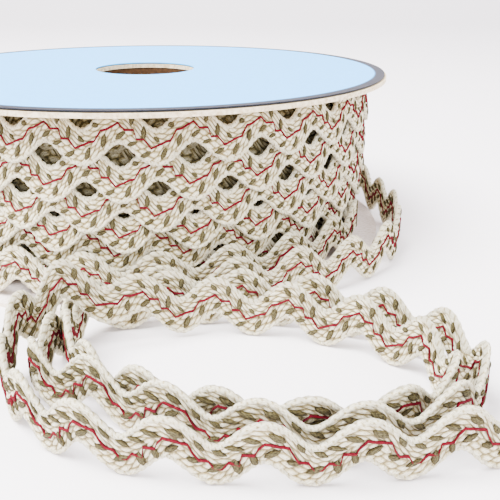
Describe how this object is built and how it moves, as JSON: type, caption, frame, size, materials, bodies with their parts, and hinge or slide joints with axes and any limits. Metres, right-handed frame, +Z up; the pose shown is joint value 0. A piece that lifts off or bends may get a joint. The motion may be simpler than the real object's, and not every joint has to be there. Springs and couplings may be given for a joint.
{
  "type": "roll of ric rac",
  "caption": "Card spool wound with wide braided ric rac in wavy rows, its last turn slack and its free end lying on edge in loops beside the spool.",
  "frame": {"origin": "centre of the spool's foot, on the surface it stands on", "axes": "+Z up along the spool's axis, -Y towards the free end, +X to the right seen from the free end"},
  "size_m": [0.1858, 0.2312, 0.0536],
  "materials": {
    "card": "matte greyboard",
    "label_paper": "coated paper, pale blue with a navy rim",
    "tube_kraft": "matte kraft board",
    "braid": "braided cotton, off-white with crimson and olive yarns"
  },
  "bodies": {
    "root": {"flange_bottom": "card", "flange_top": "card", "label": "label_paper", "core_tube": "tube_kraft", "wound_ric_rac": "braid", "loose_ric_rac": "braid"}
  },
  "joints": []
}
